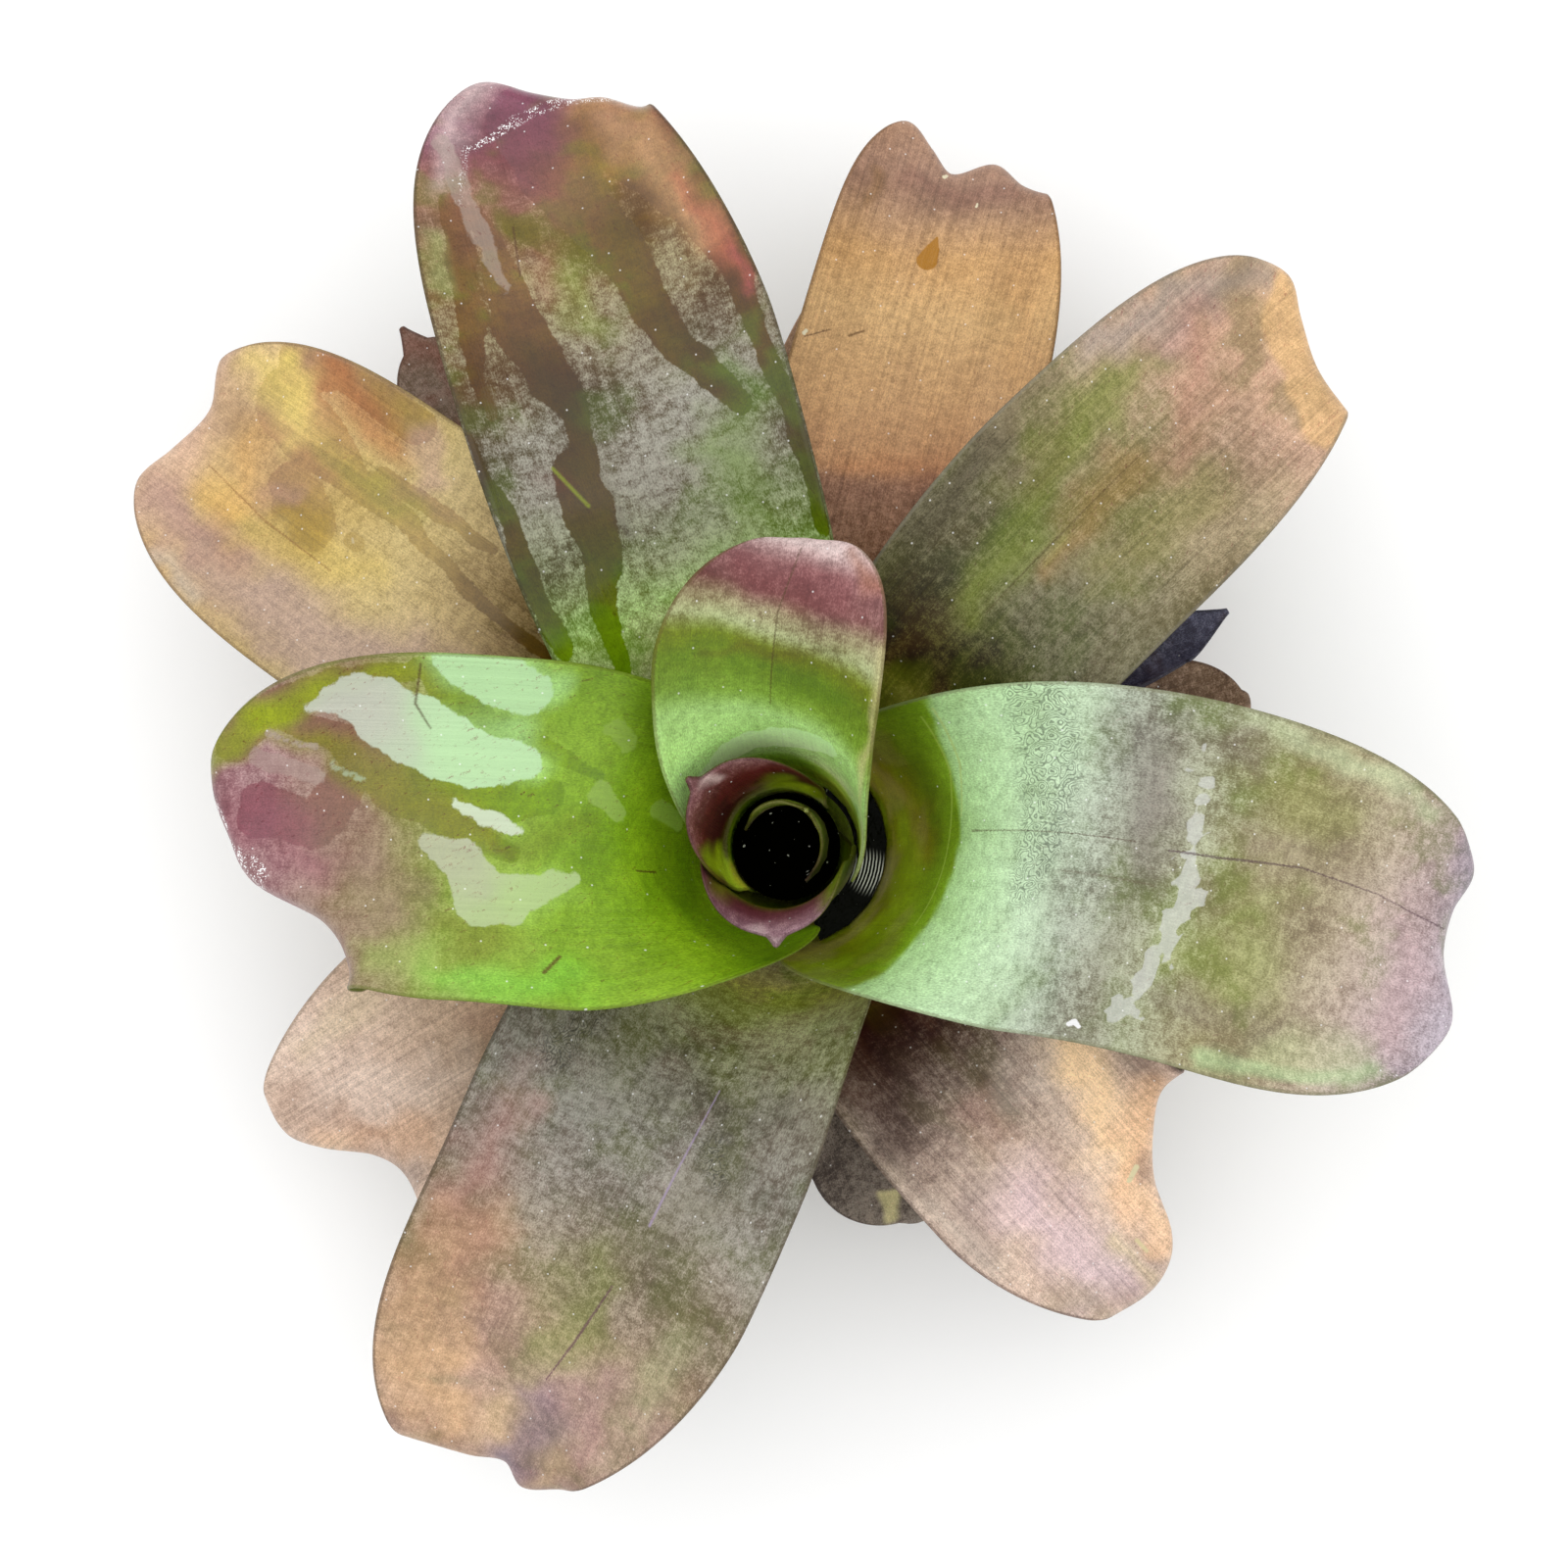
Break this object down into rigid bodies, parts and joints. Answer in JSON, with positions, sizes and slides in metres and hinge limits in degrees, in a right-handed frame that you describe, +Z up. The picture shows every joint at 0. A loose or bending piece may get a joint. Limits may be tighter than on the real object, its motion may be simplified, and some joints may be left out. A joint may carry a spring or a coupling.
{
  "type": "imperial bromeliad",
  "caption": "Rosette plant with broad arching strap leaves, down-turned tips and sheaths that hold water, standing on its cut stem.",
  "frame": {"origin": "centre of the stem's cut face, on the surface that the plant stands on", "axes": "+Z up along the stem, towards the heart of the rosette; +Y towards the longest leaf side, +X towards the broad right leaf"},
  "size_m": [0.4071, 0.4328, 0.1771],
  "materials": {
    "heart_leaf": "satin green with a maroon inner tip",
    "young_leaf": "satin green with mint bloom and a purple end",
    "green_leaf": "satin green under pale wax bloom, wet in places",
    "olive_leaf": "mottled olive and mauve grey under bloom, wet streaks",
    "tan_leaf": "yellowing tan and mauve, mostly dry",
    "withered_leaf": "dry, dull brown and mauve",
    "stem": "rough, fibrous, pale where cut",
    "water": "clear, still water"
  },
  "bodies": {
    "root": {"leaf_heart_inner": "heart_leaf", "leaf_heart_middle": "heart_leaf", "leaf_heart_outer": "heart_leaf", "leaf_young_back": "young_leaf", "leaf_left": "green_leaf", "leaf_right": "green_leaf", "leaf_back_left": "olive_leaf", "leaf_back_right": "olive_leaf", "leaf_front": "olive_leaf", "leaf_low_left": "tan_leaf", "leaf_low_back": "tan_leaf", "leaf_low_right": "tan_leaf", "leaf_low_front": "tan_leaf", "leaf_under_back": "withered_leaf", "leaf_withered_left": "withered_leaf", "leaf_withered_front": "withered_leaf", "leaf_withered_curl": "withered_leaf", "leaf_withered_right": "withered_leaf", "stem": "stem", "water_heart": "water", "water_axil": "water"}
  },
  "joints": []
}
